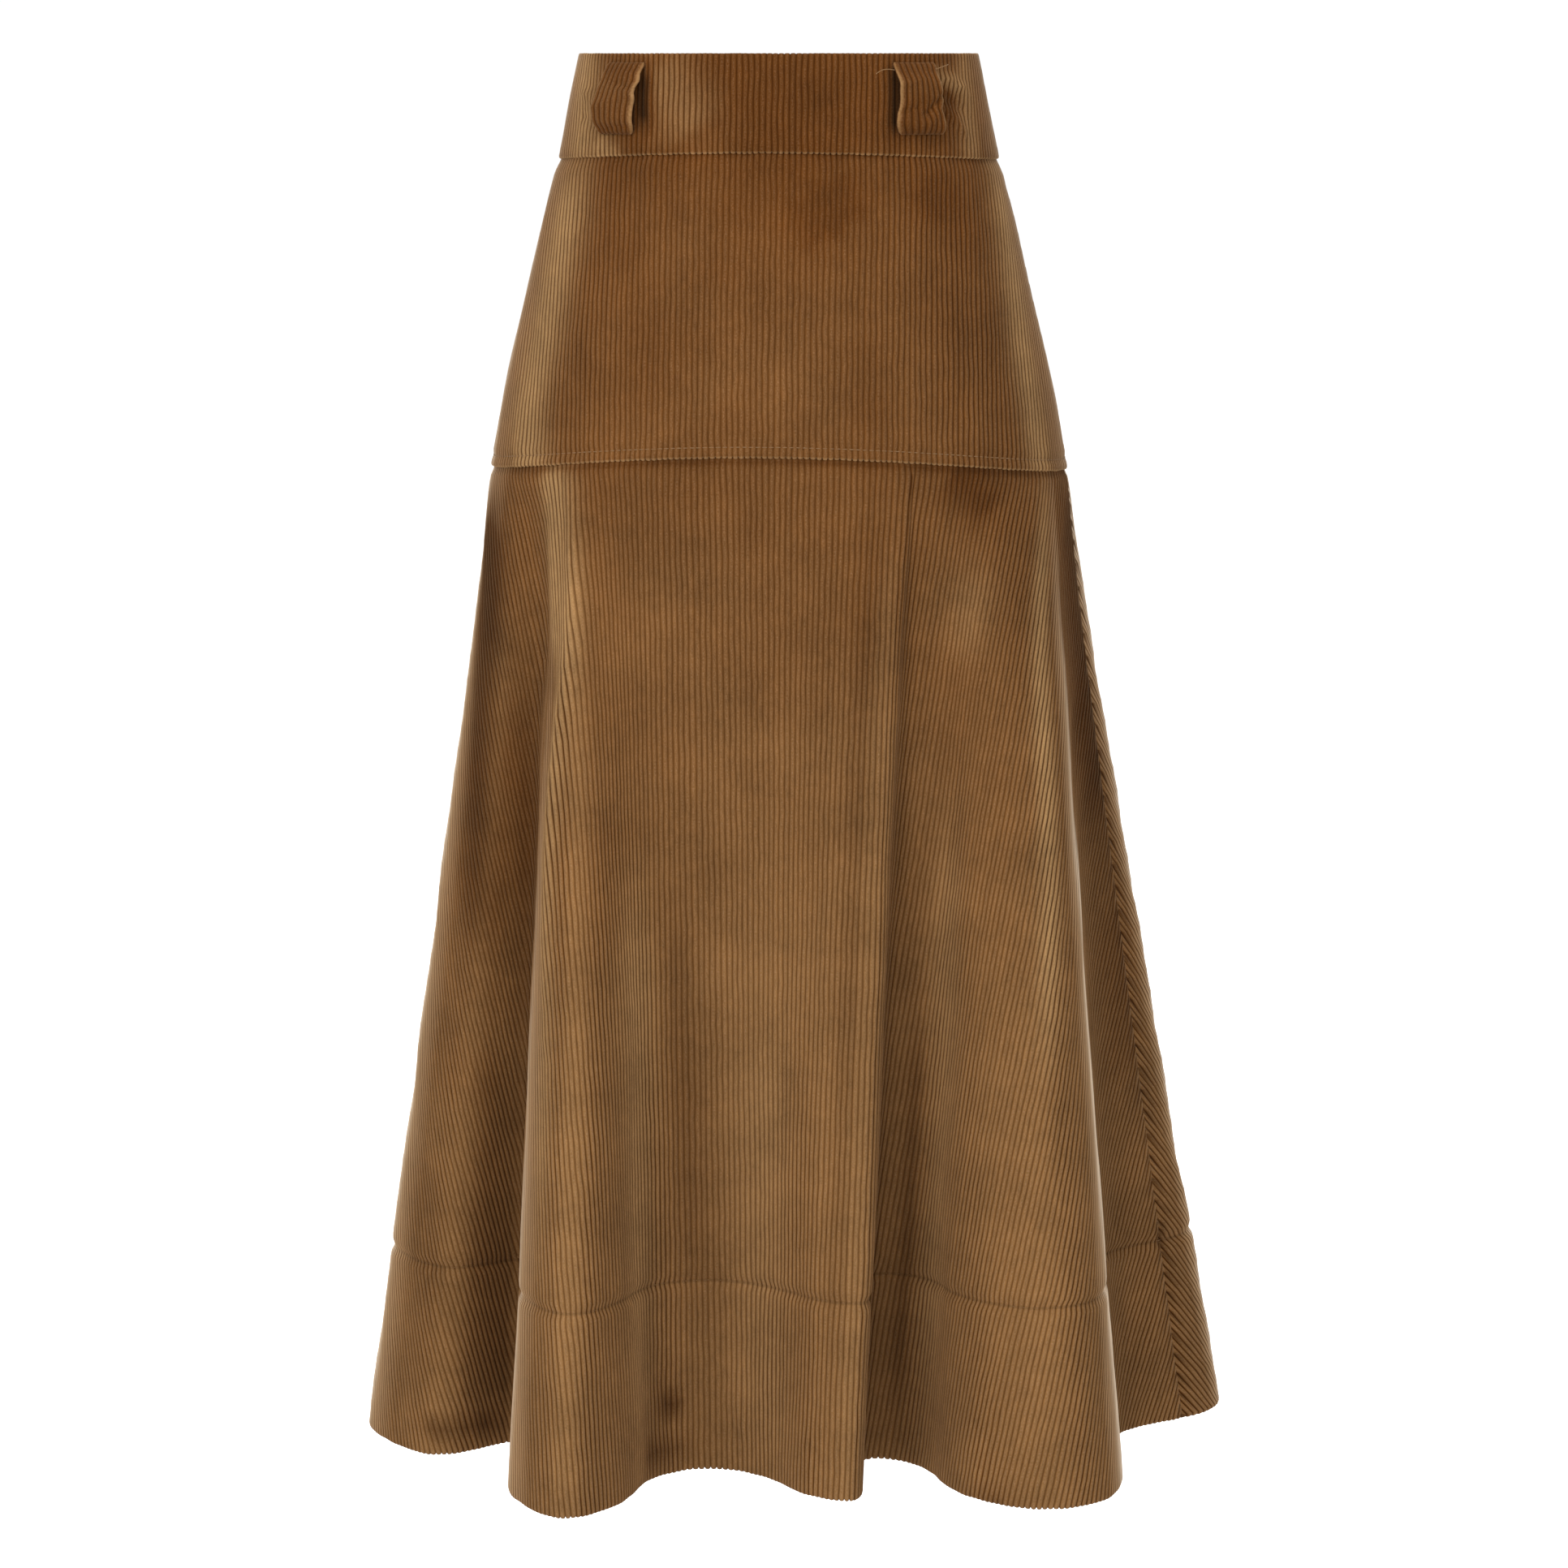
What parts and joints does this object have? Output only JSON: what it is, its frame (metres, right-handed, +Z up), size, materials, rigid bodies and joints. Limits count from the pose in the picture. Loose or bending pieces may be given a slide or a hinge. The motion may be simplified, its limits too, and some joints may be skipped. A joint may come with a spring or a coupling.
{
  "type": "a-line skirt",
  "caption": "Filled-out A-line midi skirt in ribbed corduroy, with a contoured waistband, belt loops, hip yoke, soft flared folds and a deep turned-up hem.",
  "frame": {"origin": "on the waist axis at mid-height of the waistband, 30 mm below its top edge, where the wearer's waist holds the skirt", "axes": "+Z up along the waist axis, -Y the front of the garment, +X the wearer's left"},
  "size_m": [0.5391, 0.4109, 0.86],
  "materials": {
    "corduroy": "wide-wale cotton corduroy with a soft pile",
    "zip_tape": "woven polyester tape",
    "zip_metal": "satin enamel"
  },
  "bodies": {
    "garment": {"waistband_front": "corduroy", "waistband_back_left": "corduroy", "waistband_back_right": "corduroy", "yoke_front": "corduroy", "yoke_back_left": "corduroy", "yoke_back_right": "corduroy", "skirt_front": "corduroy", "skirt_back": "corduroy", "belt_loop_front_left": "corduroy", "belt_loop_front_right": "corduroy", "belt_loop_back_left": "corduroy", "belt_loop_back_right": "corduroy", "zip_tape": "zip_tape", "zip_slider": "zip_metal"},
    "pull": {"zip_pull": "zip_metal"}
  },
  "joints": [
    {"name": "pull_swing", "type": "hinge", "parent": "garment", "child": "pull", "pos_m": [0, 0.09853, 0.02241], "axis": [1, 0, 0], "range_deg": [0, 150]}
  ]
}
